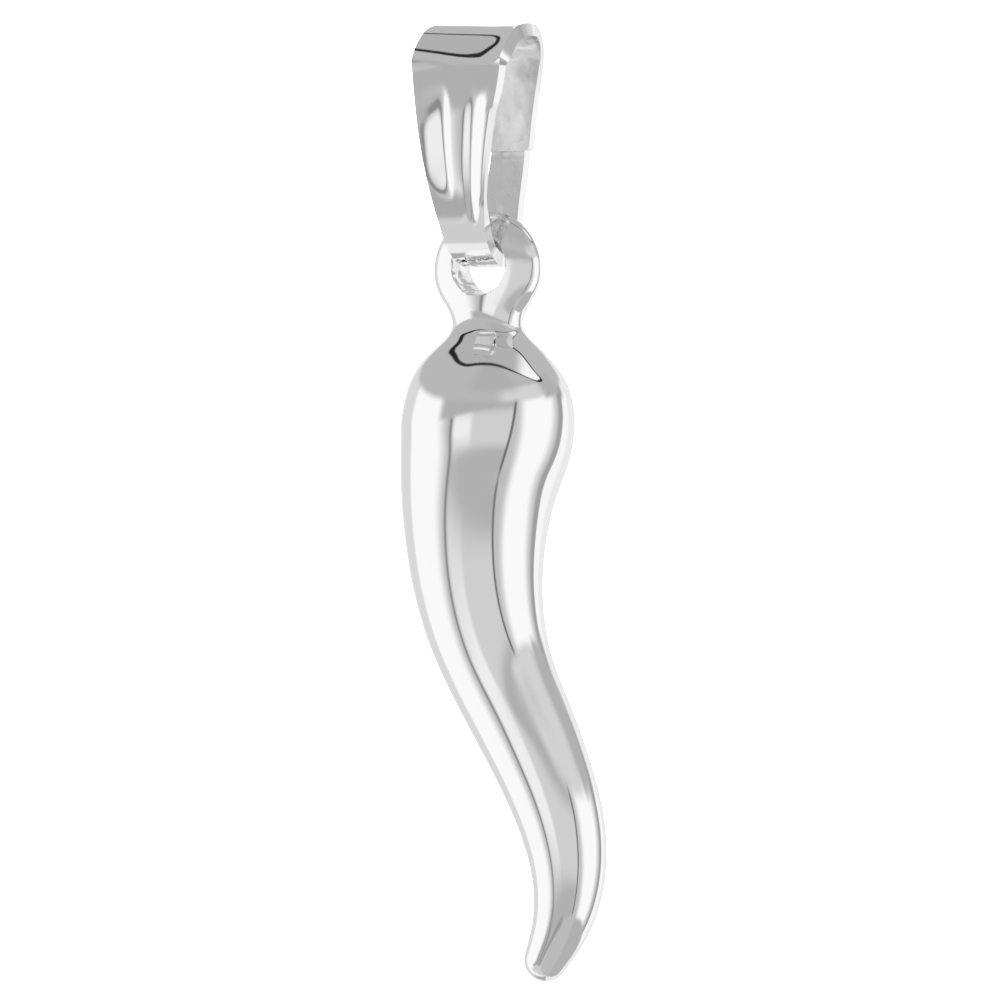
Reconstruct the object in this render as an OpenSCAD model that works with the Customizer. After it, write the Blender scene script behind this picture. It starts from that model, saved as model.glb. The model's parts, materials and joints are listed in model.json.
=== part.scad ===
// A cornicello, or little horn, that hangs by a loop from a folded bail.
// The origin is the chain seat: the inner top of the bail, straight above the loop.
// +Z is up, +X is the side the tip's bend swings to, and the front leaf faces -Y.

/* [Horn] */
// Length of the horn, from its neck straight down to its tip
horn_l = 25.2; // [20:0.2:32]
// Diameter of the horn at its thickest, below the shoulder
horn_d = 6.74; // [5.6:0.02:8]
// How far the lower bend swings out to the side of the neck
horn_sway = 3.52; // [1:0.02:5]
// Radius of the rounded tip
tip_r = 0.86; // [0.6:0.02:1.1]

/* [Neck and loop] */
// Width of the neck, side to side
neck_w = 2.76; // [2.2:0.02:3.4]
// Thickness of the neck, front to back
neck_t = 1.9; // [1.5:0.05:2.6]
// Distance from the middle of the loop down to the neck
neck_drop = 2.12; // [1.9:0.02:2.8]
// Outer diameter of the loop
loop_d = 4.62; // [4.2:0.02:5.4]
// Thickness of the loop at its middle, front to back
loop_t = 1.86; // [1.4:0.02:2.2]
// Diameter of the hole through the loop
hole_d = 2.36; // [2:0.02:2.6]
// How far the hole sits above the middle of the loop
hole_rise = 0.2; // [0:0.02:0.3]

/* [Bail] */
// Height of the bail, from its seat to the underside of its bottom bend
bail_h = 8.8; // [7.4:0.1:12]
// Thickness of the strip
strip_t = 0.5; // [0.35:0.01:0.6]
// Greatest width of the strip, over the top
bail_w = 3.8; // [3:0.1:5]
// Width of the strip where it passes through the loop
pass_w = 1.56; // [1.2:0.02:1.7]
// Width of the tongue that runs up the back
tongue_w = 1.46; // [1:0.02:1.7]
// Width of the back leaf at its lower end
back_w = 2.5; // [2:0.1:3.2]
// Width of the front leaf at its lower end
leaf_low_w = 1.92; // [1.7:0.02:2.6]
// Length of the back leaf, down from the seat
back_l = 4.25; // [3.4:0.05:5]
// How far the tongue laps up behind the back leaf
tongue_lap = 1.3; // [0.6:0.1:2]
// How far the front leaf stands in front of the loop's middle plane
front_reach = 2.66; // [2.4:0.02:3.4]
// How far the back leaf stands behind the loop's middle plane
back_reach = 1.62; // [1.5:0.02:2.4]
// Outer radius of the front bend of the top
front_top_r = 1.85; // [1.4:0.05:2.2]
// Outer radius of the back bend of the top
back_top_r = 1.4; // [1:0.05:1.5]
// Outer radius of the bottom bend, in front
front_low_r = 2.15; // [1.75:0.05:2.4]
// How high the rims stand over the saddle of the top
rim_lift = 0.17; // [0:0.01:0.25]
// Bevel along the edges of the strip
edge_bevel = 0.1; // [0.04:0.01:0.14]

/* [Flutes] */
// Depth of the two flutes pressed into the front leaf
flute_depth = 0.2; // [0:0.01:0.25]
// Distance from the seat down to where the flutes begin
flute_top = 2.1; // [1.4:0.1:3]
// Distance from the foot of the front leaf up to where the flutes end
flute_foot = 0.6; // [0.2:0.1:1.5]

/* [Clearances] */
// Gap all round between the loop and the bend that it swings in
swing_gap = 0.07; // [0.03:0.01:0.2]
// Gap between the back leaf and the tongue behind it
lap_gap = 0.05; // [0.03:0.01:0.1]

/* [Fineness] */
// Number of sides of the horn
horn_sides = 32; // [16:4:40]

/* [Hidden] */

// Where the loop's rounded wire has its middle, measured up from the middle of the loop.
// The circle about this point takes in the rim of the loop and both edges of the hole.
rim_r = loop_d / 2;
hole_top = hole_rise + hole_d / 2;
hole_edge_t = loop_t / 2 * sqrt(1 - pow(hole_top / rim_r, 2));
wire_up = (pow(rim_r, 2) - pow(hole_top, 2) - pow(hole_edge_t, 2)) / (2 * (rim_r - hole_top));

// How far the wire reaches from that point at the edges of the strip, where the hole curves down.
pass_x = max(pass_w, tongue_w) / 2;
pass_up = hole_rise + sqrt(pow(hole_d / 2, 2) - pow(pass_x, 2));
pass_t = loop_t / 2 * sqrt(1 - (pow(pass_x, 2) + pow(pass_up, 2)) / pow(rim_r, 2));
wire_reach = sqrt(pow(pass_t, 2) + pow(wire_up - pass_up, 2));

// The bottom bend's inner radius, and the swing axis at its middle.
bend_r = wire_reach + swing_gap;
axis_z = strip_t + bend_r - bail_h;
loop_z = axis_z - wire_up;
hole_z = loop_z + hole_rise;
neck_z = loop_z - neck_drop;

// Rows down the horn, from the neck to where the rounded tip begins.
// DROP is a share of horn_l, SHIFT of horn_sway, WIDE and THICK of horn_d.
DROP = 0;
SHIFT = 1;
WIDE = 2;
THICK = 3;
tip_drop = 1 - tip_r / horn_l;
HORN_ROWS = [
  [0, 0, neck_w / horn_d, neck_t / horn_d],
  [0.012, 0, 0.435, 0.36],
  [0.026, 0, 0.54, 0.5],
  [0.049, 0, 0.715, 0.7],
  [0.086, 0, 0.9, 0.9],
  [0.13, 0.015, 0.99, 0.99],
  [0.16, 0, 1, 1],
  [0.2, -0.055, 0.96, 0.96],
  [0.25, -0.115, 0.9, 0.9],
  [0.325, -0.146, 0.815, 0.815],
  [0.4, -0.11, 0.74, 0.74],
  [0.47, 0, 0.67, 0.67],
  [0.545, 0.213, 0.605, 0.605],
  [0.62, 0.495, 0.568, 0.568],
  [0.69, 0.735, 0.53, 0.53],
  [0.765, 0.93, 0.485, 0.485],
  [0.84, 1, 0.42, 0.42],
  [0.91, 0.915, 0.34, 0.34],
  [tip_drop, 0.72, 2 * tip_r / horn_d, 2 * tip_r / horn_d]
];

// Steps of each stretch of the horn.
LOOP_STEPS = 8;
NECK_STEPS = 7;
SHOULDER_STEPS = 10;
BODY_STEPS = 19;
TIP_STEPS = 4;
SHOULDER_DROP = 0.15;

// Slope of a column of a table at row i, and its smooth value at a share between two rows.
function slope(rows, col, i) =
  let (a = max(i - 1, 0), b = min(i + 1, len(rows) - 1))
  (rows[b][col] - rows[a][col]) / (rows[b][0] - rows[a][0]);
function row_before(rows, share, i = 0) =
  i >= len(rows) - 2 || rows[i + 1][0] >= share ? i : row_before(rows, share, i + 1);
function smooth(rows, col, share) =
  let (i = row_before(rows, share),
       gap = rows[i + 1][0] - rows[i][0],
       t = (share - rows[i][0]) / gap)
  rows[i][col] * (1 + 2 * t) * pow(1 - t, 2)
    + rows[i + 1][col] * (3 - 2 * t) * t * t
    + gap * t * (1 - t) * (slope(rows, col, i) * (1 - t) - slope(rows, col, i + 1) * t);

// A section is [x, z, lean, half width, half thickness]. The lean turns it about Y.
function horn_x(share) = horn_sway * smooth(HORN_ROWS, SHIFT, share);
function horn_lean(share) =
  let (step = 0.01)
  atan((horn_x(share + step / 2) - horn_x(share - step / 2)) / (step * horn_l));
function body_section(share) = [
  horn_x(share),
  neck_z - horn_l * share,
  horn_lean(share),
  horn_d / 2 * smooth(HORN_ROWS, WIDE, share),
  horn_d / 2 * smooth(HORN_ROWS, THICK, share)
];
function neck_share(t) = (1 + cos(180 * pow(t, 1.3))) / 2;
function mix(a, b, t) = a + (b - a) * t;

upper_loop = [for (k = [1 : LOOP_STEPS])
  let (turn = 90 * k / LOOP_STEPS)
  [0, loop_z + rim_r * cos(turn), 0, rim_r * sin(turn), loop_t / 2 * sin(turn)]];
lower_loop = [for (k = [1 : NECK_STEPS - 1])
  let (t = k / NECK_STEPS)
  [0, loop_z - neck_drop * t, 0, mix(neck_w, loop_d, neck_share(t)) / 2, mix(loop_t, neck_t, t) / 2]];
shoulder = [for (k = [0 : SHOULDER_STEPS - 1])
  body_section(SHOULDER_DROP * k / SHOULDER_STEPS)];
body = [for (k = [0 : BODY_STEPS])
  body_section(mix(SHOULDER_DROP, tip_drop, k / BODY_STEPS))];
tip_x = horn_x(tip_drop);
tip_z = neck_z - horn_l * tip_drop;
tip_lean = horn_lean(tip_drop - 0.005);
tip_cap = [for (k = [1 : TIP_STEPS - 1])
  let (turn = 90 * k / TIP_STEPS, out = tip_r * sin(turn))
  [tip_x + out * sin(tip_lean), tip_z - out * cos(tip_lean), tip_lean,
   tip_r * cos(turn), tip_r * cos(turn)]];

function section_point(s, turn) =
  let (side = s[3] * cos(turn))
  [s[0] + side * cos(s[2]), s[4] * sin(turn), s[1] + side * sin(s[2])];

// Closes rings of equal length into a solid, with a point or a flat face at each end.
module skin(rings, first, last) {
  n = len(rings[0]);
  rows = len(rings);
  points = concat([first], [for (r = rings) each r], [last]);
  sides = [for (i = [0 : rows - 2], j = [0 : n - 1])
    let (a = 1 + i * n + j, b = 1 + i * n + (j + 1) % n)
    each [[a, b + n, b], [a, a + n, b + n]]];
  start = [for (j = [0 : n - 1]) [0, 1 + j, 1 + (j + 1) % n]];
  end_at = 1 + (rows - 1) * n;
  finish = [for (j = [0 : n - 1]) [rows * n + 1, end_at + (j + 1) % n, end_at + j]];
  polyhedron(points, concat(start, sides, finish), convexity = 6);
}

module horn() {
  sections = concat(upper_loop, lower_loop, shoulder, body, tip_cap);
  rings = [for (s = sections)
    [for (k = [0 : horn_sides - 1]) section_point(s, -360 * (k + 0.5) / horn_sides)]];
  color("silver")
    difference() {
      skin(rings,
           [0, 0, loop_z + rim_r],
           [tip_x + tip_r * sin(tip_lean), 0, tip_z - tip_r * cos(tip_lean)]);
      translate([0, 0, hole_z])
        rotate([90, 0, 0])
          cylinder(d = hole_d, h = 2 * loop_t, center = true, $fn = 48);
    }
}

// The strip's middle line has three stretches: the tongue, the bend that the loop swings in,
// which is a true round about the swing axis, and the rest from the front bend to the back leaf.
// Each stop is [y, z, half width, rim, flute]. The last two run from 0 to 1.
mid = strip_t / 2;
bottom_z = axis_z - bend_r - mid;
back_y = back_reach - mid;
front_y = mid - front_reach;
tongue_y = back_reach + lap_gap + mid;
bend_mid_r = bend_r + mid;
low_mid_r = front_low_r - mid;
LOW_TURN = 70;
BEND_STEPS = 9;
LEAF_STEPS = 22;
TOP_STEPS = 8;
TONGUE_STEPS = 10;
BACK_STEPS = 6;

function bezier(p, t) =
  pow(1 - t, 3) * p[0] + 3 * t * pow(1 - t, 2) * p[1] + 3 * t * t * (1 - t) * p[2] + pow(t, 3) * p[3];
function ease(t) =
  let (c = min(max(t, 0), 1))
  c * c * (3 - 2 * c);

// Width of the front leaf at a height, and how deep the flutes are there.
leaf_full_z = strip_t - 0.7 * front_top_r;
tongue_foot = [bend_mid_r, axis_z];
leaf_foot = low_mid_r * [-sin(LOW_TURN), 1 - cos(LOW_TURN)] + [0, bottom_z];
leaf_head = [front_y, strip_t - front_top_r];
function leaf_half_w(z) =
  let (t = min(max((leaf_full_z - z) / (leaf_full_z - leaf_foot[1]), 0), 1))
  mix(bail_w, leaf_low_w, pow(t, 1.1)) / 2;
flute_end_z = leaf_foot[1] + flute_foot;
function flute_share(z) = ease((-flute_top - z) / 0.8) * ease((z - flute_end_z) / 1.2);

tongue_rise = -back_l - tongue_foot[1];
tongue_curve = [
  tongue_foot,
  tongue_foot + [0, 0.3 * tongue_rise],
  [tongue_y, -back_l - 0.22 * tongue_rise],
  [tongue_y, -back_l]
];
leaf_rise = leaf_head[1] - leaf_foot[1];
leaf_curve = [
  leaf_foot,
  leaf_foot + 0.375 * leaf_rise * [-cos(LOW_TURN), sin(LOW_TURN)],
  leaf_head - [0, 0.42 * leaf_rise],
  leaf_head
];

tongue_tip = [for (k = [0 : 5])
  let (turn = 90 * k / 5)
  [tongue_y, -back_l + tongue_lap - tongue_w / 2 * (1 - cos(turn)),
   tongue_w / 2 * (0.3 + 0.7 * sin(turn)), 0, 0]];
tongue_leg = [for (k = [0 : TONGUE_STEPS])
  let (t = k / TONGUE_STEPS, p = bezier(tongue_curve, 1 - t))
  [p[0], p[1], mix(tongue_w, pass_w, t) / 2, 0, 0]];
front_bend = [for (k = [0 : BEND_STEPS])
  let (t = k / BEND_STEPS, turn = LOW_TURN * t)
  [-low_mid_r * sin(turn), bottom_z + low_mid_r * (1 - cos(turn)),
   mix(pass_w, leaf_low_w, t * t) / 2, 0, 0]];
front_leaf = [for (k = [1 : LEAF_STEPS])
  let (p = bezier(leaf_curve, k / LEAF_STEPS))
  [p[0], p[1], leaf_half_w(p[1]), ease(1 + 2 * p[1] / bail_h), flute_share(p[1])]];
front_top = [for (k = [1 : TOP_STEPS])
  let (turn = 90 * k / TOP_STEPS, r = front_top_r - mid, z = strip_t - front_top_r + r * sin(turn))
  [front_y + r * (1 - cos(turn)), z, leaf_half_w(z), 1, 0]];
back_head_z = strip_t - back_top_r;
back_side_w = mix(back_w, bail_w, 0.5);
back_top = [for (k = [0 : TOP_STEPS])
  let (turn = 90 * k / TOP_STEPS, r = back_top_r - mid)
  [back_y - r * (1 - sin(turn)), back_head_z + r * cos(turn),
   mix(bail_w, back_side_w, ease(turn / 90)) / 2, 1 - 0.5 * turn / 90, 0]];
back_leaf = [for (k = [1 : BACK_STEPS])
  let (t = k / BACK_STEPS)
  [back_y, mix(back_head_z, -back_l, t),
   mix(back_side_w, back_w, pow(t, 1.5)) / 2, 0.5 * (1 - t), 0]];

tongue = concat(tongue_tip, tongue_leg);
leaves = concat(front_bend, front_leaf, front_top, back_top, back_leaf);

// Columns across the strip, as shares of its half width. The flutes lean in towards the leaf's foot.
FLUTE_HALF = 0.17;
EDGE = 0.87;
INNER_COLUMNS = [1, EDGE, 0.6, 0.3, 0, -0.3, -0.6, -EDGE, -1];
function flute_at(z) = mix(0.37, 0.25, min(max((-flute_top - z) / (-flute_top - flute_end_z), 0), 1));
function outer_columns(f) =
  let (half = [f - FLUTE_HALF, f, f + FLUTE_HALF, 0.68, EDGE, 1])
  concat([for (k = [5 : -1 : 0]) -half[k]], [0], half);
function rim_height(q) = rim_lift * pow(abs(q), 4);
function bevel(q) = abs(q) > 0.999 ? edge_bevel : 0;

// The way that a line of stops runs at stop i. An end that meets the round bend keeps its tangent.
function run_at(line, i, first, last) =
  let (a = line[max(i - 1, 0)], b = line[min(i + 1, len(line) - 1)])
  i == 0 && first != undef ? first :
  i == len(line) - 1 && last != undef ? last :
  [b[0] - a[0], b[1] - a[1]] / norm([b[0] - a[0], b[1] - a[1]]);

// One closed ring of points round the strip, with its outer face first.
function strip_ring(p, run) =
  let (out = [-run[1], run[0]], f = flute_at(p[1]))
  concat(
    [for (q = outer_columns(f))
      let (dip = abs(abs(q) - f) < 0.001 ? flute_depth * p[4] : 0,
           h = mid + p[3] * rim_height(q) - bevel(q) - dip)
      [p[2] * q, p[0] + out[0] * h, p[1] + out[1] * h]],
    [for (q = INNER_COLUMNS)
      let (h = p[3] * rim_height(q) + bevel(q) - mid)
      [p[2] * q, p[0] + out[0] * h, p[1] + out[1] * h]]);

module strip(line, first, last) {
  rings = [for (i = [0 : len(line) - 1]) strip_ring(line[i], run_at(line, i, first, last))];
  n = len(line) - 1;
  skin(rings,
       [0, line[0][0], line[0][1]],
       [0, line[n][0], line[n][1]]);
}

// The bend that the loop swings in, from the bottom up to the tongue's foot.
module swing_bend() {
  w = pass_w / 2;
  translate([0, 0, axis_z])
    rotate([0, 90, 0])
      rotate_extrude(angle = 90, $fn = 96)
        translate([bend_mid_r, 0])
          polygon([
            [mid, -EDGE * w], [mid, EDGE * w], [mid - edge_bevel, w], [edge_bevel - mid, w],
            [-mid, EDGE * w], [-mid, -EDGE * w], [edge_bevel - mid, -w], [mid - edge_bevel, -w]
          ]);
}

module bail() {
  color("gainsboro")
    union() {
      strip(tongue, undef, [0, -1]);
      swing_bend();
      strip(leaves, [-1, 0], undef);
    }
}

bail();
horn();
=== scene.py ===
import json
import math
from collections import namedtuple

import bmesh
import bpy
import numpy as np
from bpy.props import FloatProperty, FloatVectorProperty, PointerProperty
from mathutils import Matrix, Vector


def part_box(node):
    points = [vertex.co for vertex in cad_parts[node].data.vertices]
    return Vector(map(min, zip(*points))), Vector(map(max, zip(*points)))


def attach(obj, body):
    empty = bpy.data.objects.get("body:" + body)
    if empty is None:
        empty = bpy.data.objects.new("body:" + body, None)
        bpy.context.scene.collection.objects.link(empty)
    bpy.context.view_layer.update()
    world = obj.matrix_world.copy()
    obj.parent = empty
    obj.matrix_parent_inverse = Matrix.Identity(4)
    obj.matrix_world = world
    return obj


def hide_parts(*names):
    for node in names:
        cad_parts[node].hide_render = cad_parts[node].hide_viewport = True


bl_info = {
    "name": "Cornicello pendant",
    "version": (1, 0, 0),
    "blender": (4, 5, 0),
    "location": "3D View > Sidebar > Pendant",
    "description": "Builds a polished silver horn pendant on its folded bail, and the light tent round it",
    "category": "Object",
}

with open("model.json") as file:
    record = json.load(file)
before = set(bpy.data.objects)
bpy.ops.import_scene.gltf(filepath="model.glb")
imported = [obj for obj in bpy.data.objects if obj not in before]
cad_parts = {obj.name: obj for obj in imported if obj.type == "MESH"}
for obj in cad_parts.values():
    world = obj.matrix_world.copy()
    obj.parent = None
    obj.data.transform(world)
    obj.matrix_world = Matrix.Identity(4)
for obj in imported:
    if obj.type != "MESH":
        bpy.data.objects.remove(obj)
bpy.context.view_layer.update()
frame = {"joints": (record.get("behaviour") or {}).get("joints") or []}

# Lengths below are millimetres, turned to metres once at the end of each piece.
MM = 0.001
# From the frame: the height that the horn swings about, and the horn's lowest and highest place.
SWING_Z = frame["joints"][0]["pos_m"][2] / MM
HORN_LOW, HORN_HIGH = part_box("horn")
LOOP_TOP_Z = HORN_HIGH.z / MM


def srgb(code):
    """Linear colour of an sRGB hex code such as #C0C0C0."""
    parts = [int(code[i:i + 2], 16) / 255 for i in (1, 3, 5)]
    return [p / 12.92 if p <= 0.04045 else ((p + 0.055) / 1.055) ** 2.4 for p in parts]


def mm(name, text, default, low=0.0, high=100.0):
    """A length in millimetres that the user can change."""
    return FloatProperty(name=name, description=f"{text}, in millimetres", default=default,
                         min=low, max=high, precision=2)


class HornSizes(bpy.types.PropertyGroup):
    """Sizes of the horn, its neck and its loop"""
    length: mm("Length", "From the neck straight down to the tip", 25.2, 20, 32)
    thickness: mm("Thickness", "Diameter at the thickest place, below the shoulder", 6.74, 5.6, 8)
    sway: mm("Sway", "How far the lower bend swings out to the side", 3.52, 1, 5)
    tip_radius: mm("Tip radius", "Radius of the rounded tip", 0.86, 0.6, 1.1)
    neck_width: mm("Neck width", "Side to side", 2.76, 2.2, 3.4)
    neck_thickness: mm("Neck thickness", "Front to back", 1.9, 1.5, 2.6)
    neck_drop: mm("Neck drop", "From the middle of the loop down to the neck", 2.12, 1.9, 2.8)
    loop_diameter: mm("Loop diameter", "Outer diameter of the loop", 4.62, 4.2, 5.4)
    loop_thickness: mm("Loop thickness", "Front to back at the middle of the loop", 1.86, 1.4, 2.2)
    hole_diameter: mm("Hole diameter", "Diameter of the hole through the loop", 2.36, 2, 2.6)
    hole_rise: mm("Hole rise", "How far the hole sits above the middle of the loop", 0.2, 0, 0.3)


class BailSizes(bpy.types.PropertyGroup):
    """Sizes of the strip that the bail is bent from"""
    height: mm("Height", "From the chain seat to the underside of the bottom bend", 8.8, 7.4, 12)
    strip: mm("Strip", "Thickness of the strip", 0.5, 0.35, 0.6)
    top_width: mm("Top width", "Width of the strip over the top", 3.8, 3, 5)
    leaf_foot_width: mm("Leaf foot width", "Width of the front leaf at its lower end", 1.92, 1.7, 2.6)
    pass_width: mm("Pass width", "Width of the strip where it passes through the loop", 1.56, 1.2, 1.7)
    tongue_width: mm("Tongue width", "Width of the tongue up the back", 1.46, 1, 1.7)
    back_width: mm("Back leaf width", "Width of the back leaf at its lower end", 2.5, 2, 3.2)
    back_length: mm("Back leaf length", "From the chain seat down", 4.25, 3.4, 5)
    tongue_lap: mm("Tongue lap", "How far the tongue laps behind the back leaf", 1.3, 0.6, 2)
    rim_lift: mm("Rim lift", "How high the rims stand over the saddle of the top", 0.17, 0, 0.25)
    flute_depth: mm("Flute depth", "Depth of the pressed flutes", 0.3, 0, 0.4)
    edge_round: mm("Edge rounding", "Radius along the edges of the strip", 0.1, 0.02, 0.12)


class SilverLook(bpy.types.PropertyGroup):
    """Colours of the two silvers"""
    colour: FloatVectorProperty(
        name="Silver", description="Colour of polished sterling silver", subtype="COLOR",
        default=srgb("#F9F9F9"), min=0, max=1)
    inner_colour: FloatVectorProperty(
        name="Inner silver", description="Colour of the unpolished inside of the bail", subtype="COLOR",
        default=srgb("#F4F4F4"), min=0, max=1)


class StageLook(bpy.types.PropertyGroup):
    """The sweep and the lamp over it"""
    floor_colour: FloatVectorProperty(
        name="Floor", description="Colour of the pale sweep", subtype="COLOR",
        default=srgb("#F2F2F1"), min=0, max=1)
    floor_drop: mm("Floor drop", "From the tip of the horn down to the floor", 6.0, 1, 60)
    lamp: FloatProperty(name="Lamp", description="Power of the soft lamp over the floor", default=14.0,
                        min=0, unit="POWER")


# Tools for nodes, selections and meshes


def add_node(tree, kind, settings=None, inputs=None):
    """Adds a node, sets its properties and fills or links its inputs."""
    node = tree.nodes.new(kind)
    for key, value in (settings or {}).items():
        setattr(node, key, value)
    for key, value in (inputs or {}).items():
        if isinstance(value, bpy.types.NodeSocket):
            tree.links.new(value, node.inputs[key])
        else:
            node.inputs[key].default_value = value
    return node


def new_material(name):
    """An empty material and its node tree."""
    material = bpy.data.materials.new(name)
    material.use_nodes = True
    material.node_tree.nodes.clear()
    return material, material.node_tree


def edit(piece):
    """Opens a piece in edit mode with nothing else selected."""
    if bpy.context.object and bpy.context.object.mode != "OBJECT":
        bpy.ops.object.mode_set(mode="OBJECT")
    bpy.ops.object.select_all(action="DESELECT")
    bpy.context.view_layer.objects.active = piece
    piece.select_set(True)
    bpy.ops.object.mode_set(mode="EDIT")


def pick(piece, test):
    """In edit mode, selects only the vertices that pass the test."""
    bpy.ops.mesh.select_mode(type="VERT")
    bpy.ops.mesh.select_all(action="DESELECT")
    mesh = bmesh.from_edit_mesh(piece.data)
    for v in mesh.verts:
        v.select = bool(test(v))
    mesh.select_flush(True)
    bmesh.update_edit_mesh(piece.data)


def apply_modifier(piece, kind, **settings):
    """Adds a modifier to the active piece and applies it."""
    bpy.ops.object.modifier_add(type=kind)
    modifier = piece.modifiers[-1]
    for key, value in settings.items():
        setattr(modifier, key, value)
    if "FINISHED" not in bpy.ops.object.modifier_apply(modifier=modifier.name):
        raise RuntimeError(f"The {kind} modifier wasn't applied")


def check_closed(piece):
    """Stops the script if a finished piece has an open or stray edge."""
    mesh = bmesh.new()
    mesh.from_mesh(piece.data)
    closed = len(mesh.faces) > 0 and all(edge.is_manifold for edge in mesh.edges)
    mesh.free()
    if not closed:
        raise RuntimeError(f"{piece.name} isn't closed")


def to_metres(piece, name):
    """Names a finished piece, turns it from millimetres to metres and sets its origin."""
    piece.name = name
    piece.data.name = name
    bpy.ops.object.select_all(action="DESELECT")
    piece.select_set(True)
    bpy.context.view_layer.objects.active = piece
    piece.scale = (MM, MM, MM)
    bpy.ops.object.transform_apply(location=True, rotation=True, scale=True)


def spline(knots, values):
    """A natural cubic spline through values at knots."""
    knots, values = np.asarray(knots, float), np.asarray(values, float)
    gap = np.diff(knots)
    n = len(knots)
    matrix, right = np.eye(n), np.zeros((n, values.shape[1]))
    for i in range(1, n - 1):
        matrix[i, i - 1:i + 2] = gap[i - 1], 2 * (gap[i - 1] + gap[i]), gap[i]
        right[i] = 6 * ((values[i + 1] - values[i]) / gap[i] - (values[i] - values[i - 1]) / gap[i - 1])
    bend = np.linalg.solve(matrix, right)

    def at(x):
        i = int(np.clip(np.searchsorted(knots, x) - 1, 0, n - 2))
        a, b, h = knots[i + 1] - x, x - knots[i], gap[i]
        return ((bend[i] * a ** 3 + bend[i + 1] * b ** 3) / (6 * h)
                + (values[i] / h - bend[i] * h / 6) * a + (values[i + 1] / h - bend[i + 1] * h / 6) * b)
    return at


# Silver


def high_polish_silver(look):
    """Sterling silver, cast or rolled and buffed to a mirror: it shows the studio with hardly a haze."""
    material, tree = new_material("sterling silver, high polish")
    place = add_node(tree, "ShaderNodeTexCoord")
    # Buffing leaves a haze in soft patches about 3 mm across.
    haze = add_node(tree, "ShaderNodeTexNoise", {"noise_dimensions": "3D"},
                    {"Vector": place.outputs["Object"], "Scale": 1 / (3 * MM), "Detail": 2.0})
    rough = add_node(tree, "ShaderNodeMapRange", None,
                     {"Value": haze.outputs["Fac"], "From Min": 0.3, "From Max": 0.7,
                      "To Min": 0.035, "To Max": 0.075})
    # Hand buffing leaves the surface very slightly uneven, over about 1.4 mm.
    swell = add_node(tree, "ShaderNodeTexNoise", {"noise_dimensions": "3D"},
                     {"Vector": place.outputs["Object"], "Scale": 1 / (1.4 * MM), "Detail": 1.0})
    bump = add_node(tree, "ShaderNodeBump", None,
                    {"Height": swell.outputs["Fac"], "Strength": 0.12, "Distance": 0.012 * MM})
    shader = add_node(tree, "ShaderNodeBsdfPrincipled", None,
                      {"Base Color": (*look.colour, 1), "Metallic": 1.0,
                       "Roughness": rough.outputs["Result"], "Normal": bump.outputs["Normal"]})
    add_node(tree, "ShaderNodeOutputMaterial", None, {"Surface": shader.outputs["BSDF"]})
    return material


def rolled_silver(look):
    """Sterling silver sheet as it left the rolls and dies: the inside of the bail, mottled and duller."""
    material, tree = new_material("sterling silver, rolled and unpolished")
    place = add_node(tree, "ShaderNodeTexCoord")
    # Die marks and dents are blotches about 1 mm across.
    blotch = add_node(tree, "ShaderNodeTexNoise", {"noise_dimensions": "3D"},
                      {"Vector": place.outputs["Object"], "Scale": 1 / (1.0 * MM), "Detail": 2.0})
    rough = add_node(tree, "ShaderNodeMapRange", None,
                     {"Value": blotch.outputs["Fac"], "From Min": 0.35, "From Max": 0.65,
                      "To Min": 0.2, "To Max": 0.36})
    bump = add_node(tree, "ShaderNodeBump", None,
                    {"Height": blotch.outputs["Fac"], "Strength": 0.8, "Distance": 0.1 * MM})
    shader = add_node(tree, "ShaderNodeBsdfPrincipled", None,
                      {"Base Color": (*look.inner_colour, 1), "Metallic": 1.0,
                       "Roughness": rough.outputs["Result"], "Normal": bump.outputs["Normal"]})
    add_node(tree, "ShaderNodeOutputMaterial", None, {"Surface": shader.outputs["BSDF"]})
    return material


# The horn, its neck and its loop

# Rows down the horn: drop as a share of its length, sideways shift as a share of its sway,
# width and thickness as shares of its thickest diameter.
HORN_ROWS = (
    (0.0125, 0, 0.435, 0.36),
    (0.026, 0, 0.54, 0.5),
    (0.049, 0, 0.715, 0.7),
    (0.086, 0, 0.9, 0.9),
    (0.13, 0.01, 0.985, 0.985),
    (0.16, 0, 1, 1),
    (0.2, -0.052, 0.965, 0.965),
    (0.25, -0.113, 0.9, 0.9),
    (0.325, -0.146, 0.815, 0.815),
    (0.4, -0.11, 0.742, 0.742),
    (0.47, 0, 0.675, 0.675),
    (0.545, 0.213, 0.608, 0.608),
    (0.62, 0.495, 0.572, 0.572),
    (0.69, 0.735, 0.532, 0.532),
    (0.765, 0.93, 0.486, 0.486),
    (0.84, 1, 0.42, 0.42),
    (0.91, 0.915, 0.34, 0.34),
)
TIP_SHIFT = 0.72
# The loop's upper half and the tip are rounded by sections at these angles from their poles' line.
LOOP_TURNS = (10, 21, 33, 46, 60, 75, 90)
TIP_TURNS = (20, 40, 58, 74)
NECK_SHARES = (0.2, 0.4, 0.6, 0.8)
# How much the neck is hollowed, front to back, under a straight taper.
NECK_HOLLOW = 0.07
HORN_STEPS = 62
SIDES = 32
# Subdivision shrinks a ring to this share as it rounds it.
ROUNDING = (2 + math.cos(2 * math.pi / SIDES)) / 3
# The open ring at each end lies within the first of these of its middle, and its fan's middle within
# the second.
END_RING, END_MIDDLE = 0.5, 0.2
# Radius at the edges of the hole, as buffing leaves them.
HOLE_EDGE = 0.035


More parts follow.
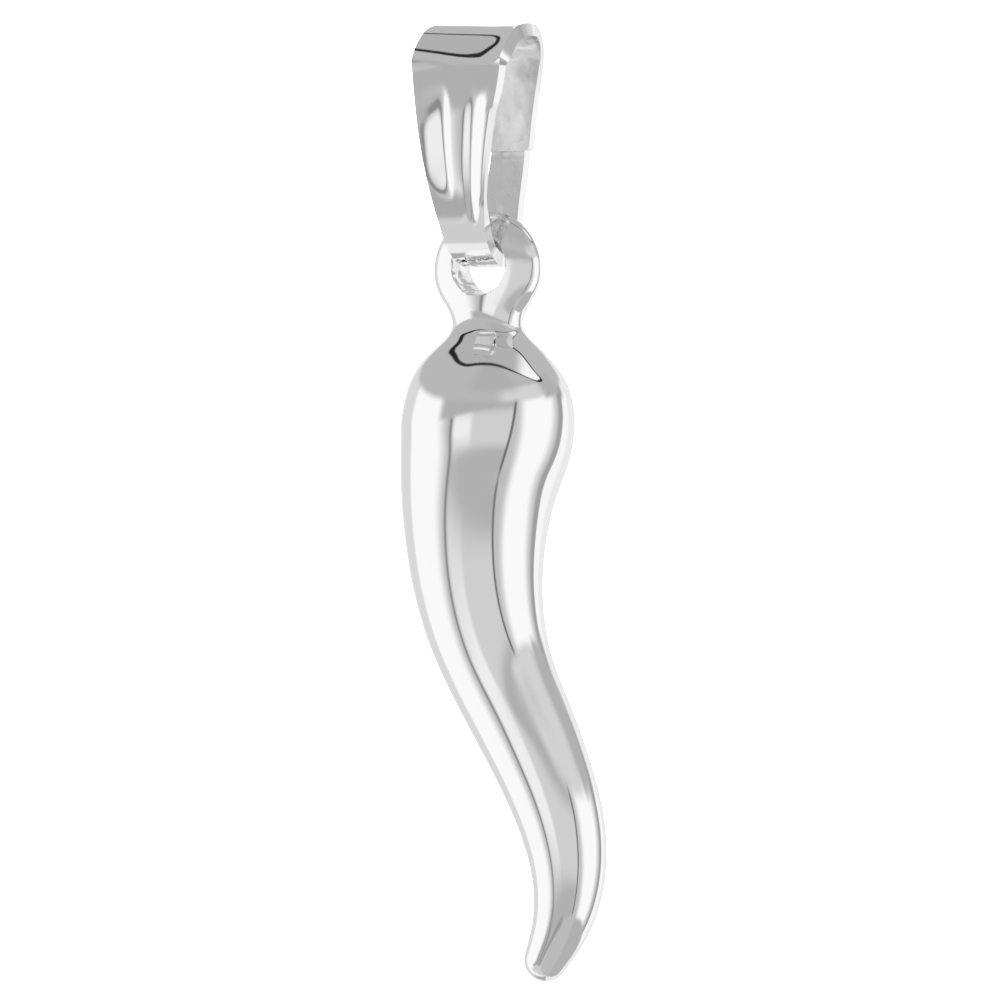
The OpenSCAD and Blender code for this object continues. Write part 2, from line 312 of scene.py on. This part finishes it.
def horn_sections(size):
    """Sections from the top of the loop to the tip: x, z, lean, half width, half thickness.

    Also gives the tip's pole and the height of the loop's middle.
    """
    rim = size.loop_diameter / 2
    loop_z = LOOP_TOP_Z - rim
    neck_z = loop_z - size.neck_drop
    rows = []
    for turn in LOOP_TURNS:
        out, up = math.sin(math.radians(turn)), math.cos(math.radians(turn))
        rows.append((0, loop_z + rim * up, rim * out, size.loop_thickness / 2 * out))
    for t in NECK_SHARES:
        flare = (1 + math.cos(math.pi * t ** 1.3)) / 2
        width = size.neck_width + (size.loop_diameter - size.neck_width) * flare
        thickness = (size.loop_thickness + (size.neck_thickness - size.loop_thickness) * t
                     - NECK_HOLLOW * math.sin(math.pi * t * t))
        rows.append((0, loop_z - size.neck_drop * t, width / 2, thickness / 2))
    rows.append((0, neck_z, size.neck_width / 2, size.neck_thickness / 2))
    for drop, shift, wide, thick in HORN_ROWS:
        rows.append((size.sway * shift, neck_z - size.length * drop,
                     size.thickness / 2 * wide, size.thickness / 2 * thick))
    tip_z = neck_z - size.length + size.tip_radius
    rows.append((size.sway * TIP_SHIFT, tip_z, size.tip_radius, size.tip_radius))
    rows = np.array(rows)
    run = np.concatenate([[0], np.cumsum(np.linalg.norm(np.diff(rows[:, :3], axis=0), axis=1))])
    curve = spline(run, rows)
    sections = []
    for at in np.linspace(0, run[-1], HORN_STEPS):
        x, z, wide, thick = curve(at)
        before, after = curve(max(at - 0.05, 0)), curve(min(at + 0.05, run[-1]))
        fall = before[1] - after[1]
        lean = math.atan2(after[0] - before[0], fall)
        sections.append((x, z, lean, wide, thick))
    x, z, lean, wide, thick = sections[-1]
    for turn in TIP_TURNS:
        out, side = math.sin(math.radians(turn)), math.cos(math.radians(turn))
        sections.append((x + wide * out * math.sin(lean), z - wide * out * math.cos(lean), lean,
                         wide * side, thick * side))
    pole = (x + wide * math.sin(lean), 0, z - wide * math.cos(lean))
    return sections, pole, loop_z


def ring(section):
    """Adds one section of the horn as a ring of points."""
    x, z, lean, wide, thick = section
    bpy.ops.mesh.primitive_circle_add(vertices=SIDES, radius=wide / ROUNDING, fill_type="NOTHING",
                                      location=(x, 0, z), rotation=(0, -lean, 0))
    bpy.ops.transform.resize(value=(1, thick / wide, 1), center_override=(0, 0, 0))


def close_end(piece, centre, pole):
    """Fills the ring round centre with a fan and draws its middle out to the pole."""
    centre = Vector(centre)
    pick(piece, lambda v: (v.co - centre).length < END_RING and v.is_boundary)
    bpy.ops.mesh.edge_face_add()
    bpy.ops.mesh.poke()
    pick(piece, lambda v: (v.co - centre).length < END_MIDDLE and len(v.link_faces) == SIDES)
    bpy.ops.transform.translate(value=Vector(pole) - centre)


class PENDANT_OT_horn(bpy.types.Operator):
    """Builds the horn with its neck and pierced loop as one polished casting"""
    bl_idname = "pendant.horn"
    bl_label = "Horn"

    def execute(self, context):
        size = context.scene.pendant_horn
        sections, pole, loop_z = horn_sections(size)
        bpy.ops.object.select_all(action="DESELECT")
        bpy.ops.mesh.primitive_plane_add()
        piece = context.object
        edit(piece)
        bpy.ops.mesh.delete(type="VERT")
        for section in sections:
            ring(section)
        bpy.ops.mesh.select_all(action="SELECT")
        bpy.ops.mesh.bridge_edge_loops()
        first, last = sections[0], sections[-1]
        close_end(piece, (first[0], 0, first[1]), (0, 0, LOOP_TOP_Z))
        close_end(piece, (last[0], 0, last[1]), pole)
        bpy.ops.mesh.select_all(action="SELECT")
        bpy.ops.mesh.normals_make_consistent(inside=False)
        bpy.ops.object.mode_set(mode="OBJECT")
        apply_modifier(piece, "SUBSURF", levels=2, render_levels=2)

        # The hole is drilled straight through from front to back.
        bpy.ops.object.select_all(action="DESELECT")
        bpy.ops.mesh.primitive_cylinder_add(
            vertices=96, radius=size.hole_diameter / 2, depth=2 * size.loop_thickness,
            location=(0, 0, loop_z + size.hole_rise), rotation=(math.pi / 2, 0, 0))
        drill = context.object
        bpy.ops.object.select_all(action="DESELECT")
        context.view_layer.objects.active = piece
        piece.select_set(True)
        apply_modifier(piece, "BOOLEAN", operation="DIFFERENCE", solver="EXACT", object=drill)
        bpy.data.objects.remove(drill)
        apply_modifier(piece, "BEVEL", width=HOLE_EDGE, segments=2, limit_method="ANGLE",
                       angle_limit=math.radians(38))
        bpy.ops.object.shade_smooth_by_angle(angle=math.radians(34))
        to_metres(piece, "horn_casting")
        check_closed(piece)
        piece.data.materials.clear()
        piece.data.materials.append(high_polish_silver(context.scene.pendant_silver))
        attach(piece, "horn")
        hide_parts("horn")
        return {"FINISHED"}


# The bail, bent from one strip

# Columns across the strip as shares of its half width, from the left edge to the right, each with
# its height in four shapes: the saddle of the top, the left flute's wall, its broad slope, and the
# right flute.
COLUMNS = (
    (-1.0, 1.0, 0.0, 0.1, 0.0),
    (-0.88, 0.9, -0.01, 0.09, 0.0),
    (-0.7, 0.75, -0.05, 0.05, 0.0),
    (-0.5, 0.58, -0.11, -0.08, 0.0),
    (-0.38, 0.49, -0.17, -0.13, 0.0),
    (-0.28, 0.41, -0.2, -0.1, 0.0),
    (-0.22, 0.36, -0.1, -0.05, 0.0),
    (-0.17, 0.32, -0.01, 0.0, 0.0),
    (-0.1, 0.27, 0.05, 0.0, 0.0),
    (0.04, 0.17, 0.06, 0.0, 0.02),
    (0.18, 0.09, 0.02, 0.0, 0.06),
    (0.27, 0.05, 0.0, 0.0, 0.06),
    (0.37, 0.02, 0.0, 0.0, -0.01),
    (0.48, 0.0, 0.0, 0.0, -0.08),
    (0.56, 0.0, 0.0, 0.0, -0.02),
    (0.68, 0.04, 0.0, 0.0, 0.16),
    (0.8, 0.15, 0.0, 0.0, 0.34),
    (0.91, 0.34, 0.0, 0.0, 0.36),
    (1.0, 0.6, 0.0, 0.0, 0.27),
)


# A stop of the strip's line: its place, its heading in degrees from +Y, the strip's half width there,
# and the strengths of the four shapes.
Stop = namedtuple("Stop", "y z heading half_width saddle wall slope right")

# How far the back leaf's outer face stands behind the loop's middle, and the gap to the tongue.
BACK_REACH = 1.62
LAP_GAP = 0.05
# Degrees between stops in the back of the top, in the bend under the front leaf, and in the bend that
# the loop swings in.
BACK_STEP, LOW_STEP, SWING_STEP = 13, 10, 11
# How far the leaf's line and the tongue's are pulled along their headings at each end, and their stops.
LEAF_PULL, LEAF_STOPS = (2.5, 2.1), 22
TONGUE_PULL, TONGUE_STOPS = (0.93, 0.68), 9
# Outer radii of the back of the top and of the bend under the front leaf, and how far that turns.
BACK_TOP_R = 1.4
FRONT_LOW_R = 2.15
LOW_TURN = 70
# Strength of the saddle at the back of the top, over the top, and at the leaf's head.
BACK_SADDLE, TOP_SADDLE, LEAF_SADDLE = 0.5, 0.7, 0.1
# The back leaf from its foot up: share of the height, share of the foot's width.
BACK_LEAF = ((0, 0.94), (0.06, 0.98), (0.2, 1.0), (0.45, 1.07), (0.7, 1.16))
# The top slopes down to the front in a nearly flat facet, dished between its rims. After its flat
# stretch it has three arcs: outer radius, headings at the start and the end, saddle at each stop.
TOP_FRONT_Y = -0.13
TOP_ARCS = (
    (2.31, 180, 217, (0.75, 0.85, 1.05, 1.3, 1.5)),
    (4.78, 217, 233, (1.55, 1.5, 1.4, 1.2)),
    (0.6, 233, 265, (0.85, 0.5, 0.3, 0.15)),
)
# How far below the chain seat the flutes begin and end, each with the length of its ramp.
WALL_START, SLOPE_START, RIGHT_START = (1.75, 1.2), (2.75, 0.8), (1.9, 1.0)
LEFT_END, RIGHT_END = (6.25, 1.1), (7.6, 1.4)
# The tongue's end: share of the lap, share of the tongue's width.
TONGUE_END = ((0.5, 1.0), (0.8, 1.0), (0.94, 0.94), (1.0, 0.62))


def arc(centre, radius, start, end, step):
    """Points (y, z) and headings along an arc, headings in degrees from +Y."""
    count = max(1, round(abs(end - start) / step))
    points = []
    for k in range(1, count + 1):
        heading = start + (end - start) * k / count
        out = math.radians(heading - 90)
        points.append((centre[0] + radius * math.cos(out), centre[1] + radius * math.sin(out), heading))
    return points


def curve(start, end, pull, count):
    """Points along a cubic from one place and heading to another, pulled along each heading."""
    p = [Vector(start[:2]), None, None, Vector(end[:2])]
    ways = [Vector((math.cos(math.radians(h)), math.sin(math.radians(h)))) for h in (start[2], end[2])]
    p[1] = p[0] + ways[0] * pull[0]
    p[2] = p[3] - ways[1] * pull[1]
    points = []
    for k in range(1, count + 1):
        t = k / count
        at = (p[0] * (1 - t) ** 3 + p[1] * (3 * t * (1 - t) ** 2)
              + p[2] * (3 * t * t * (1 - t)) + p[3] * t ** 3)
        way = ((p[1] - p[0]) * (1 - t) ** 2 + (p[2] - p[1]) * (2 * t * (1 - t)) + (p[3] - p[2]) * t * t)
        points.append((at.x, at.y, math.degrees(math.atan2(way.y, way.x)) % 360))
    return points


def fade(t):
    """A soft step from 0 to 1."""
    t = min(max(t, 0), 1)
    return t * t * (3 - 2 * t)


def flutes(z):
    """Strengths of the left flute's wall and slope and of the right flute at a height."""
    starts, ends = (WALL_START, SLOPE_START, RIGHT_START), (LEFT_END, RIGHT_END)
    wall, slope, right = (fade((-down - z) / ramp) for down, ramp in starts)
    left_end, right_end = (fade((z + down) / ramp) for down, ramp in ends)
    return wall * left_end, slope * left_end, right * right_end


def bail_path(size):
    """Stops of the strip's outer line, from the back leaf's foot over the top to the tongue's tip."""
    top_z = size.strip
    seat = size.height - size.strip
    stops = []

    def put(points, wide, saddle=(0, 0), pressed=None):
        """Adds points whose width and saddle run from one value to another."""
        for k, (y, z, heading) in enumerate(points, 1):
            t = k / len(points)
            width = wide(z) if callable(wide) else wide[0] + (wide[1] - wide[0]) * t
            stops.append(Stop(y, z, heading, width / 2, saddle[0] + (saddle[1] - saddle[0]) * t,
                              *(pressed(z) if pressed else (0, 0, 0))))

    # The back leaf, and the round back of the top.
    head_w = (size.back_width + size.top_width) / 2
    head_z = top_z - BACK_TOP_R
    rise = head_z + size.back_length
    for share, width in BACK_LEAF:
        stops.append(Stop(BACK_REACH, -size.back_length + rise * share, 90, size.back_width * width / 2,
                          share * 0.3, 0, 0, 0))
    stops.append(Stop(BACK_REACH, head_z, 90, head_w / 2, BACK_SADDLE, 0, 0, 0))
    put(arc((BACK_REACH - BACK_TOP_R, head_z), BACK_TOP_R, 90, 180, BACK_STEP), (head_w, size.top_width),
        (BACK_SADDLE, TOP_SADDLE))

    # The front of the top. Each arc carries the line on from where it stands.
    wide = (size.top_width, size.top_width)
    put([(TOP_FRONT_Y, top_z, 180)], wide, (TOP_SADDLE, TOP_SADDLE))
    for radius, start, end, dishes in TOP_ARCS:
        out = math.radians(start - 90)
        centre = (stops[-1].y - radius * math.cos(out), stops[-1].z - radius * math.sin(out))
        for point, dish in zip(arc(centre, radius, start, end, (end - start) / len(dishes)), dishes):
            put([point], wide, (dish, dish))

    # The fluted front leaf.
    leaf_top = stops[-1]
    low_z = -seat - size.strip + FRONT_LOW_R
    low_turn = math.radians(LOW_TURN)
    foot = (-FRONT_LOW_R * math.sin(low_turn), low_z - FRONT_LOW_R * math.cos(low_turn), 360 - LOW_TURN)
    length = leaf_top.z - foot[1]

    def leaf_width(z):
        t = min(max((leaf_top.z - z) / length, 0), 1)
        return size.top_width + (size.leaf_foot_width - size.top_width) * t ** 1.1

    put(curve(leaf_top, foot, LEAF_PULL, LEAF_STOPS), leaf_width, (LEAF_SADDLE, 0), flutes)

    # The bend that the loop swings in, and the tongue.
    put(arc((0, low_z), FRONT_LOW_R, 360 - LOW_TURN, 360, LOW_STEP),
        (size.leaf_foot_width, size.pass_width))
    bend_r = size.strip + (SWING_Z + seat)
    put(arc((0, SWING_Z), bend_r, 0, 90, SWING_STEP), (size.pass_width, size.pass_width))
    tongue_y = BACK_REACH + LAP_GAP + size.strip
    put(curve((bend_r, SWING_Z, 90), (tongue_y, -size.back_length, 90), TONGUE_PULL, TONGUE_STOPS),
        (size.pass_width, size.tongue_width))
    for share, width in TONGUE_END:
        stops.append(Stop(tongue_y, -size.back_length + size.tongue_lap * share, 90,
                          size.tongue_width * width / 2, 0, 0, 0, 0))
    return stops


class PENDANT_OT_bail(bpy.types.Operator):
    """Bends the bail from one tapered strip with two pressed flutes"""
    bl_idname = "pendant.bail"
    bl_label = "Bail"

    def execute(self, context):
        size = context.scene.pendant_bail
        stops = bail_path(size)
        bpy.ops.object.select_all(action="DESELECT")
        bpy.ops.mesh.primitive_grid_add(x_subdivisions=len(COLUMNS) - 1, y_subdivisions=1, size=2)
        piece = context.object
        edit(piece)
        pick(piece, lambda v: v.co.y > 0)
        bpy.ops.mesh.delete(type="VERT")
        # The first row of points is set out across the strip at the foot of the back leaf. Each point
        # keeps the number of its column and of its stop.
        mesh = bmesh.from_edit_mesh(piece.data)
        mesh.verts.layers.int.new("column")
        mesh.verts.layers.int.new("stop")
        column = mesh.verts.layers.int["column"]
        for k, v in enumerate(sorted(mesh.verts, key=lambda v: v.co.x)):
            v.co = (COLUMNS[k][0] * stops[0].half_width, stops[0].y, stops[0].z)
            v[column] = k
            v.select = True
        mesh.select_flush(True)
        bmesh.update_edit_mesh(piece.data)
        for i, (a, b) in enumerate(zip(stops, stops[1:]), 1):
            bpy.ops.mesh.extrude_region_move(TRANSFORM_OT_translate={"value": (0, b.y - a.y, b.z - a.z)})
            bpy.ops.transform.resize(value=(b.half_width / a.half_width, 1, 1),
                                     center_override=(0, b.y, b.z))
            mesh = bmesh.from_edit_mesh(piece.data)
            number = mesh.verts.layers.int["stop"]
            for v in mesh.verts:
                if v.select:
                    v[number] = i
        # Flutes are pressed in and rims raised along the strip's own outward direction.
        mesh = bmesh.from_edit_mesh(piece.data)
        column, number = mesh.verts.layers.int["column"], mesh.verts.layers.int["stop"]
        for v in mesh.verts:
            stop = stops[v[number]]
            _, rim, wall, slope, right = COLUMNS[v[column]]
            way = math.radians(stop.heading - 90)
            out = Vector((0, math.cos(way), math.sin(way)))
            pressed = stop.wall * wall + stop.slope * slope + stop.right * right
            v.co += out * (size.rim_lift * stop.saddle * rim + size.flute_depth * pressed)
        bmesh.update_edit_mesh(piece.data)
        bpy.ops.mesh.select_all(action="SELECT")
        bpy.ops.mesh.normals_make_consistent(inside=False)
        # The open strip has no inside yet: its front leaf has to face forwards.
        mesh = bmesh.from_edit_mesh(piece.data)
        leaf = min(mesh.faces, key=lambda f: f.calc_center_median().y)
        if leaf.normal.y > 0:
            bpy.ops.mesh.flip_normals()
        bpy.ops.object.mode_set(mode="OBJECT")
        piece.data.materials.clear()
        piece.data.materials.append(high_polish_silver(context.scene.pendant_silver))
        piece.data.materials.append(rolled_silver(context.scene.pendant_silver))
        apply_modifier(piece, "SUBSURF", levels=2, render_levels=2)
        apply_modifier(piece, "SOLIDIFY", thickness=size.strip, offset=-1, use_even_offset=True,
                       material_offset=1, material_offset_rim=0)
        apply_modifier(piece, "BEVEL", width=size.edge_round, segments=3, limit_method="ANGLE",
                       angle_limit=math.radians(60))
        bpy.ops.object.shade_smooth()
        apply_modifier(piece, "WEIGHTED_NORMAL", keep_sharp=True)
        to_metres(piece, "bail_strip")
        check_closed(piece)
        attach(piece, "bail")
        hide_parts("bail")
        return {"FINISHED"}


# The light tent and the camera

# The camera stands level with the pendant, turned round it from the front. It frames this height,
# about a place given to the right and up from the origin.
CAMERA_TURN = math.radians(28)
CAMERA_DISTANCE = 261.8
FRAME_HEIGHT = 38.5
FRAME_CENTRE = (0.48, -17.73)
# The round sweep: radius of its flat floor, radius of the turn, height of the wall.
SWEEP = (420.0, 160.0, 520.0)
SWEEP_STEPS = 10
LAMP_ACROSS = 700
LAMP_HEIGHT = 620

# Patches of the tent as the pendant mirrors them, later ones over earlier ones: where they lie
# round from the camera and above the horizon, in degrees, and how far they lean to the right.
# Each row: from, to, lean, low, high, climb to the right, soft at the sides, soft above and below,
# brightness.
TENT = (
    # The side walls: far parts, and the falling off towards the card.
    (-200, -121, 0, -90, 90, 0, 8, 8, 0.72),
    (-200, -158, 0, -90, 90, 0, 12, 8, 0.88),
    (-61, 40, 0, -90, 90, 0, 24, 8, 0.46),
    (27, 44, 0.2, -90, 90, 0, 20, 8, 0.55),
    (132, 200, 0, -90, 90, 0, 18, 8, 0.86),
    # The door in the right wall.
    (97, 125, 0.3, -90, 24, 0, 16, 8, 0.6),
    (107, 122, 0.3, -90, 30, 0, 8, 6, 0.36),
    (118, 134, 0.3, -90, 12, 0, 3, 6, 0.97),
    # The card in front, with a glow on its left part, and dark edges.
    (-49, 10, 0.12, -90, 90, 0, 2, 8, 0.46),
    (0, 32, 0.3, -90, 90, 0, 2, 8, 0.46),
    (-45, 34, 0.2, -18, 13, 0, 8, 11, 0.65),
    (-46, -22, 0.1, -13, 11, 0, 8, 20, 0.9),
    (-78, -47, 0, -29, -20, 0, 10, 4, 0.42),
    (-51.5, -47.8, 0.12, -34, 8, 0, 2, 5, 0.27),
    (31.5, 35, 0.3, -50, 22, 0, 2, 6, 0.16),
    # The roof comes down lowest over the card.
    (-66, 16, 0, 15, 90, 0.13, 14, 5, 0.45),
    (-200, 200, 0, 21, 90, 0, 10, 7, 0.5),
    (88, 122, 0, 17, 40, 0, 10, 6, 0.46),
    (18, 85, 0, 20, 38, 0, 22, 8, 0.68),
    (-30, 45, 0, 34, 90, 0, 30, 20, 0.45),
    # The table.
    (-95, -35, 0, -90, -30, 0, 20, 4, 0.64),
    (-35, 35, 0, -90, -34, 0, 10, 3, 0.52),
    (35, 130, 0, -90, -36.5, 0, 10, 4, 0.46),
    (-52, -12, 0, -35.5, -30.5, 0, 6, 3, 0.33),
    (-128, -85, 0, -90, -50, 0, 10, 8, 0.88),
    (-220, -128, 0, -90, -45, 0, 14, 12, 0.42),
)

# The slot in the roof, in degrees from straight up: its middle and half size, across to the right and
# along towards the camera, and the radius of its corners.
SLOT = (12.0, -2.5, 38.5, 14.5)
SLOT_CORNER = 10.0
# It tapers to the right, by this share a degree, and bows away from a place across.
SLOT_TAPER = 0.012
SLOT_BOW = 0.0055
SLOT_BOW_AT = 25.0
# Its black outline, in degrees, how much thicker that is towards each end, where that sets in, and
# over how many degrees.
SLOT_LINE, SLOT_LINE_MORE = 1.8, 1.0
SLOT_LINE_END = (32, 14)
SLOT_SOFT = 1.2
# Brightness of the outline, and of what shows through on the left and on the right, and where across
# the left goes over to the right.
SLOT_DARK, SLOT_LEFT, SLOT_RIGHT = 0.02, 0.46, 0.95
SLOT_SPLIT = (30, 12)


def tent_world(scene):
    """A white light tent round the pendant, with a grey front card, a grey roof and a slot in it."""
    world = bpy.data.worlds.new("light tent")
    world.use_nodes = True
    scene.world = world
    tree = world.node_tree
    tree.nodes.clear()

    def calc(operation, *values):
        node = add_node(tree, "ShaderNodeMath", {"operation": operation}, dict(enumerate(values)))
        return node.outputs[0]

    def step(value, edge, soft):
        reach = {"Value": value, "From Min": edge - soft / 2, "From Max": edge + soft / 2}
        return add_node(tree, "ShaderNodeMapRange", {"interpolation_type": "SMOOTHSTEP"}, reach).outputs[0]

    def between(value, low, high, soft):
        return calc("MULTIPLY", step(value, low, soft), calc("SUBTRACT", 1.0, step(value, high, soft)))

    def blend(under, over, mask):
        return add_node(tree, "ShaderNodeMix", {"data_type": "FLOAT"},
                        {"Factor": mask, "A": under, "B": over}).outputs[0]

    # Where a mirrored ray goes: round from the camera, and above the horizon.
    way = add_node(tree, "ShaderNodeTexCoord").outputs["Generated"]
    turned = add_node(tree, "ShaderNodeVectorRotate", {"rotation_type": "Z_AXIS"},
                      {"Vector": way, "Angle": -CAMERA_TURN}).outputs[0]
    right, away, up = add_node(tree, "ShaderNodeSeparateXYZ", None, {"Vector": turned}).outputs
    turn = calc("ARCTAN2", right, calc("MULTIPLY", away, -1.0))
    degrees = 180 / math.pi
    side = calc("MULTIPLY", turn, degrees)
    rise = calc("MULTIPLY", calc("ARCSINE", up), degrees)

    level = 1.0
    for start, end, lean, low, high, climb, soft_side, soft_rise, bright in TENT:
        leant = calc("SUBTRACT", side, calc("MULTIPLY", rise, lean)) if lean else side
        climbed = calc("SUBTRACT", rise, calc("MULTIPLY", side, climb)) if climb else rise
        mask = calc("MULTIPLY", between(leant, start, end, soft_side),
                    between(climbed, low, high, soft_rise))
        level = blend(level, bright, mask)

    # The slot: how far a ray goes beyond its edge, in degrees.
    from_top = calc("SUBTRACT", 90.0, rise)
    across = calc("MULTIPLY", from_top, calc("SINE", turn))
    along = calc("MULTIPLY", from_top, calc("COSINE", turn))
    middle_x, middle_y, half_x, half_y = SLOT
    off_x = calc("SUBTRACT", across, middle_x)
    from_bow = calc("SUBTRACT", across, SLOT_BOW_AT)
    bow = calc("MULTIPLY", calc("MULTIPLY", from_bow, from_bow), SLOT_BOW)
    off_y = calc("ADD", calc("SUBTRACT", along, middle_y), bow)
    taper = calc("SUBTRACT", 1.0, calc("MULTIPLY", off_x, SLOT_TAPER))
    over_x = calc("MAXIMUM", calc("SUBTRACT", calc("ABSOLUTE", off_x), half_x - SLOT_CORNER), 0.0)
    from_middle = calc("ABSOLUTE", calc("DIVIDE", off_y, taper))
    over_y = calc("MAXIMUM", calc("SUBTRACT", from_middle, half_y - SLOT_CORNER), 0.0)
    beyond = calc("SUBTRACT", calc("SQRT", calc("ADD", calc("MULTIPLY", over_x, over_x),
                                                calc("MULTIPLY", over_y, over_y))), SLOT_CORNER)
    near_end = step(calc("ABSOLUTE", off_x), *SLOT_LINE_END)
    line = calc("ADD", SLOT_LINE, calc("MULTIPLY", near_end, SLOT_LINE_MORE))
    outline = calc("SUBTRACT", 1.0, step(calc("SUBTRACT", beyond, line), 0, SLOT_SOFT))
    opening = calc("SUBTRACT", 1.0, step(beyond, -0.9, SLOT_SOFT))
    level = blend(level, SLOT_DARK, outline)
    level = blend(level, blend(SLOT_LEFT, SLOT_RIGHT, step(across, *SLOT_SPLIT)), opening)

    # Only the silver mirrors the tent. Plain white lights the sweep, which also keeps renders short.
    rays = add_node(tree, "ShaderNodeLightPath")
    colour = add_node(tree, "ShaderNodeCombineColor", None, {"Red": level, "Green": level, "Blue": level})
    shine = add_node(tree, "ShaderNodeBackground", None, {"Color": colour.outputs[0], "Strength": 1.0})
    plain = add_node(tree, "ShaderNodeBackground", None, {"Color": (1, 1, 1, 1), "Strength": 1.0})
    light = add_node(tree, "ShaderNodeMixShader", None,
                     {0: rays.outputs["Is Glossy Ray"], 1: plain.outputs[0], 2: shine.outputs[0]})
    add_node(tree, "ShaderNodeOutputWorld", None, {"Surface": light.outputs[0]})
    world.cycles.sampling_method = "NONE"


def pale_sweep(look):
    """Matte seamless paper: a pale floor that turns up into a wall with no line."""
    material, tree = new_material("seamless paper, matte")
    place = add_node(tree, "ShaderNodeTexCoord")
    # Paper fibre, drawn at 2 mm so that it shows at all.
    fibre = add_node(tree, "ShaderNodeTexNoise", {"noise_dimensions": "3D"},
                     {"Vector": place.outputs["Object"], "Scale": 1 / (2 * MM), "Detail": 3.0})
    bump = add_node(tree, "ShaderNodeBump", None,
                    {"Height": fibre.outputs["Fac"], "Strength": 0.05, "Distance": 0.05 * MM})
    shader = add_node(tree, "ShaderNodeBsdfPrincipled", None,
                      {"Base Color": (*look.floor_colour, 1), "Roughness": 0.9,
                       "Normal": bump.outputs["Normal"]})
    add_node(tree, "ShaderNodeOutputMaterial", None, {"Surface": shader.outputs["BSDF"]})
    return material


class PENDANT_OT_stage(bpy.types.Operator):
    """Sets up the pale sweep, the light tent, the lamp and the camera"""
    bl_idname = "pendant.stage"
    bl_label = "Stage"

    def execute(self, context):
        scene = context.scene
        look = scene.pendant_stage
        floor_z = HORN_LOW.z / MM - look.floor_drop
        # The sweep is flat, then turned up all round, so that it looks the same from every side.
        flat, turn_up, wall = SWEEP
        bpy.ops.object.select_all(action="DESELECT")
        bpy.ops.mesh.primitive_circle_add(vertices=96, radius=flat, fill_type="TRIFAN",
                                          location=(0, 0, floor_z))
        sweep = context.object
        bpy.ops.object.transform_apply(location=True, rotation=True, scale=True)
        edit(sweep)
        pick(sweep, lambda v: v.is_boundary)
        radius, height = flat, 0.0
        for k in range(1, SWEEP_STEPS + 1):
            angle = math.pi / 2 * k / SWEEP_STEPS
            new_radius = flat + turn_up * math.sin(angle)
            new_height = turn_up * (1 - math.cos(angle))
            bpy.ops.mesh.extrude_region_move(
                TRANSFORM_OT_translate={"value": (0, 0, new_height - height)})
            grow = new_radius / radius
            bpy.ops.transform.resize(value=(grow, grow, 1), center_override=(0, 0, floor_z + new_height))
            radius, height = new_radius, new_height
        bpy.ops.mesh.extrude_region_move(TRANSFORM_OT_translate={"value": (0, 0, wall)})
        bpy.ops.object.mode_set(mode="OBJECT")
        bpy.ops.object.shade_smooth()
        to_metres(sweep, "pale_sweep")
        sweep.data.materials.append(pale_sweep(look))
        sweep.visible_glossy = False

        tent_world(scene)

        lamp_data = bpy.data.lights.new("soft lamp", "AREA")
        lamp_data.shape = "DISK"
        lamp_data.size = LAMP_ACROSS * MM
        lamp_data.energy = look.lamp
        lamp = bpy.data.objects.new("soft lamp", lamp_data)
        lamp.location = (0, 0, LAMP_HEIGHT * MM)
        lamp.visible_glossy = False
        lamp.visible_camera = False
        scene.collection.objects.link(lamp)

        eye = bpy.data.cameras.new("camera")
        eye.sensor_width = 36.0
        eye.lens = eye.sensor_width * CAMERA_DISTANCE / FRAME_HEIGHT
        eye.clip_start = 0.01
        camera = bpy.data.objects.new("camera", eye)
        right = Vector((math.cos(CAMERA_TURN), math.sin(CAMERA_TURN), 0))
        toward = Vector((math.sin(CAMERA_TURN), -math.cos(CAMERA_TURN), 0))
        spot = right * FRAME_CENTRE[0] + toward * CAMERA_DISTANCE + Vector((0, 0, FRAME_CENTRE[1]))
        camera.location = spot * MM
        camera.rotation_euler = (math.pi / 2, 0, CAMERA_TURN)
        scene.collection.objects.link(camera)
        scene.camera = camera
        scene.view_settings.view_transform = "Standard"
        return {"FINISHED"}


class PENDANT_PT_panel(bpy.types.Panel):
    """Lists the parts of the pendant and their sizes"""
    bl_idname = "PENDANT_PT_panel"
    bl_label = "Cornicello pendant"
    bl_space_type = "VIEW_3D"
    bl_region_type = "UI"
    bl_category = "Pendant"

    def draw(self, context):
        for title, group, operator in (
                ("Horn", "pendant_horn", "pendant.horn"), ("Bail", "pendant_bail", "pendant.bail"),
                ("Silver", "pendant_silver", None), ("Stage", "pendant_stage", "pendant.stage")):
            part = self.layout.box()
            part.label(text=title)
            values = getattr(context.scene, group)
            for key in values.__annotations__:
                part.prop(values, key)
            if operator:
                part.operator(operator)


GROUPS = {"pendant_horn": HornSizes, "pendant_bail": BailSizes,
          "pendant_silver": SilverLook, "pendant_stage": StageLook}
CLASSES = (*GROUPS.values(), PENDANT_OT_horn, PENDANT_OT_bail, PENDANT_OT_stage, PENDANT_PT_panel)


def register():
    for cls in CLASSES:
        bpy.utils.register_class(cls)
    for name, group in GROUPS.items():
        setattr(bpy.types.Scene, name, PointerProperty(type=group))


def unregister():
    for name in GROUPS:
        delattr(bpy.types.Scene, name)
    for cls in reversed(CLASSES):
        bpy.utils.unregister_class(cls)


def main():
    register()
    bpy.ops.pendant.stage()
    bpy.ops.pendant.horn()
    bpy.ops.pendant.bail()


if __name__ == "__main__":
    main()
